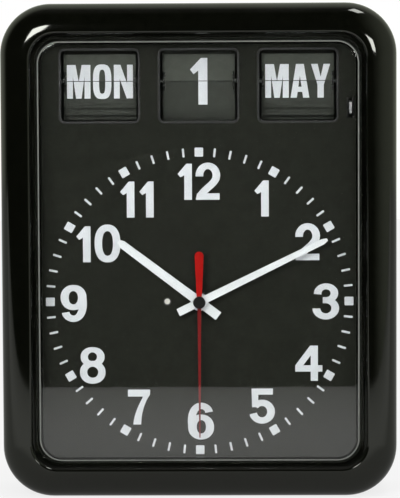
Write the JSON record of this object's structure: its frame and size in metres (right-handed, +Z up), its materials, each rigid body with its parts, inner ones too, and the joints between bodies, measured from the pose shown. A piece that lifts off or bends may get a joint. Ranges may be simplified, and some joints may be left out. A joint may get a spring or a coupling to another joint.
{
  "type": "calendar wall and desk clock",
  "caption": "Upright clock in a rolled black frame: analogue dial with hands below split-flap day, date and month windows, behind a clear tray lens.",
  "frame": {"origin": "middle of the footprint, on the surface that the clock stands on", "axes": "+Z up, the dial looks towards -Y, +X to the right as the dial is read"},
  "size_m": [0.264, 0.085, 0.33],
  "materials": {
    "case_gloss": "moulded, polished black",
    "case_back": "moulded black, fine texture",
    "lens_clear": "clear moulded acrylic",
    "dial_black": "painted satin black",
    "frame_black": "moulded black",
    "leaf_black": "printed black sheet",
    "hand_white": "white paint",
    "hand_red": "red paint",
    "plated_steel": "zinc plated",
    "brass": "turned",
    "gear_white": "moulded white",
    "movement_plastic": "moulded off-white",
    "cell_jacket": "plain jacket"
  },
  "bodies": {
    "case": {"front_bezel": "case_gloss", "rear_cover": "case_back", "dial_plate": "dial_black", "day_window_frame": "frame_black", "date_window_frame": "frame_black", "month_window_frame": "frame_black", "day_flap_frame": "frame_black", "date_flap_frame": "frame_black", "month_flap_frame": "frame_black", "detent_springs": "plated_steel", "hanger_plate": "plated_steel", "battery_holder": "frame_black", "battery_cell": "cell_jacket", "battery_contacts": "plated_steel", "rod_guide": "frame_black", "lever_bracket": "frame_black", "centre_bush": "brass", "centre_nut": "brass", "movement_case_front": "movement_plastic", "movement_case_rear": "movement_plastic"},
    "lens": {"lens": "lens_clear"},
    "battery_door": {"battery_door": "case_back"},
    "lift_bar": {"lift_bar": "gear_white"},
    "advance_lever": {"advance_lever": "plated_steel"},
    "minute": {"minute_arbor": "brass", "minute_hand": "hand_white"},
    "hour": {"hour_wheel": "gear_white", "hour_hand": "hand_white"},
    "second": {"second_arbor": "brass", "second_hand": "hand_red", "hand_cap": "frame_black"},
    "motion_wheel": {"motion_wheel": "gear_white"},
    "set_knob": {"set_shaft": "plated_steel", "set_knob": "case_back"},
    "calendar_wheel": {"calendar_wheel": "gear_white"},
    "day_spool": {"day_spool": "frame_black", "day_axle": "plated_steel", "day_ratchet_wheel": "gear_white", "day_leaves": "leaf_black"},
    "day_falling_leaf": {"day_falling_leaf": "leaf_black"},
    "date_spool": {"date_spool": "frame_black", "date_axle": "plated_steel", "date_ratchet_wheel": "gear_white", "date_leaves": "leaf_black"},
    "date_falling_leaf": {"date_falling_leaf": "leaf_black"},
    "month_spool": {"month_spool": "frame_black", "month_axle": "plated_steel", "month_ratchet_wheel": "gear_white", "month_leaves": "leaf_black"},
    "month_falling_leaf": {"month_falling_leaf": "leaf_black"}
  },
  "joints": [
    {"name": "lens_pull", "type": "slide", "parent": "case", "child": "lens", "axis": [0, -1, 0], "range_m": [0, 0.025]},
    {"name": "battery_door_swing", "type": "hinge", "parent": "case", "child": "battery_door", "pos_m": [0, 0.04135, 0.0425], "axis": [-1, 0, 0], "range_deg": [0, 95]},
    {"name": "calendar_lift", "type": "slide", "parent": "case", "child": "lift_bar", "axis": [0, 0, 1], "range_m": [0, 0.0038]},
    {"name": "advance_lever_tilt", "type": "hinge", "parent": "case", "child": "advance_lever", "pos_m": [0.1016, -0.008, 0.26], "axis": [1, 0, 0], "range_deg": [0, 10.9]},
    {"name": "minute_hand_turn", "type": "hinge", "parent": "case", "child": "minute", "pos_m": [0, 0, 0.13], "axis": [0, 1, 0], "continuous": true},
    {"name": "hour_hand_turn", "type": "hinge", "parent": "case", "child": "hour", "pos_m": [0, 0, 0.13], "axis": [0, 1, 0], "continuous": true},
    {"name": "motion_wheel_turn", "type": "hinge", "parent": "case", "child": "motion_wheel", "pos_m": [0.012, 0, 0.13], "axis": [0, 1, 0], "continuous": true},
    {"name": "set_knob_turn", "type": "hinge", "parent": "case", "child": "set_knob", "pos_m": [0.0161, 0, 0.11872], "axis": [0, 1, 0], "continuous": true},
    {"name": "calendar_wheel_turn", "type": "hinge", "parent": "case", "child": "calendar_wheel", "pos_m": [0, 0, 0.148], "axis": [0, 1, 0], "continuous": true},
    {"name": "second_hand_turn", "type": "hinge", "parent": "case", "child": "second", "pos_m": [0, 0, 0.13], "axis": [0, 1, 0], "continuous": true},
    {"name": "day_spool_turn", "type": "hinge", "parent": "case", "child": "day_spool", "pos_m": [-0.0665, 0.0025, 0.278], "axis": [1, 0, 0], "range_deg": [0, 25.71]},
    {"name": "day_leaf_fall", "type": "hinge", "parent": "day_spool", "child": "day_falling_leaf", "pos_m": [-0.0665, -0.00871, 0.28056], "axis": [1, 0, 0], "range_deg": [0, 154.3]},
    {"name": "date_spool_turn", "type": "hinge", "parent": "case", "child": "date_spool", "pos_m": [0, 0.0025, 0.278], "axis": [1, 0, 0], "range_deg": [0, 11.61]},
    {"name": "date_leaf_fall", "type": "hinge", "parent": "date_spool", "child": "date_falling_leaf", "pos_m": [0, -0.00894, 0.27916], "axis": [1, 0, 0], "range_deg": [0, 168.4]},
    {"name": "month_spool_turn", "type": "hinge", "parent": "case", "child": "month_spool", "pos_m": [0.0665, 0.0025, 0.278], "axis": [1, 0, 0], "range_deg": [0, 30]},
    {"name": "month_leaf_fall", "type": "hinge", "parent": "month_spool", "child": "month_falling_leaf", "pos_m": [0.0665, -0.00861, 0.28098], "axis": [1, 0, 0], "range_deg": [0, 150.01]}
  ],
  "couplings": [
    {"joint": "advance_lever_tilt", "follows": "calendar_lift", "rad_per_m": 50},
    {"joint": "hour_hand_turn", "follows": "minute_hand_turn", "ratio": 0.083333},
    {"joint": "motion_wheel_turn", "follows": "minute_hand_turn", "ratio": -0.33333},
    {"joint": "set_knob_turn", "follows": "minute_hand_turn", "ratio": 1},
    {"joint": "calendar_wheel_turn", "follows": "minute_hand_turn", "ratio": -0.041667},
    {"joint": "day_leaf_fall", "follows": "day_spool_turn", "ratio": 6},
    {"joint": "date_leaf_fall", "follows": "date_spool_turn", "ratio": 14.5},
    {"joint": "month_leaf_fall", "follows": "month_spool_turn", "ratio": 5}
  ]
}
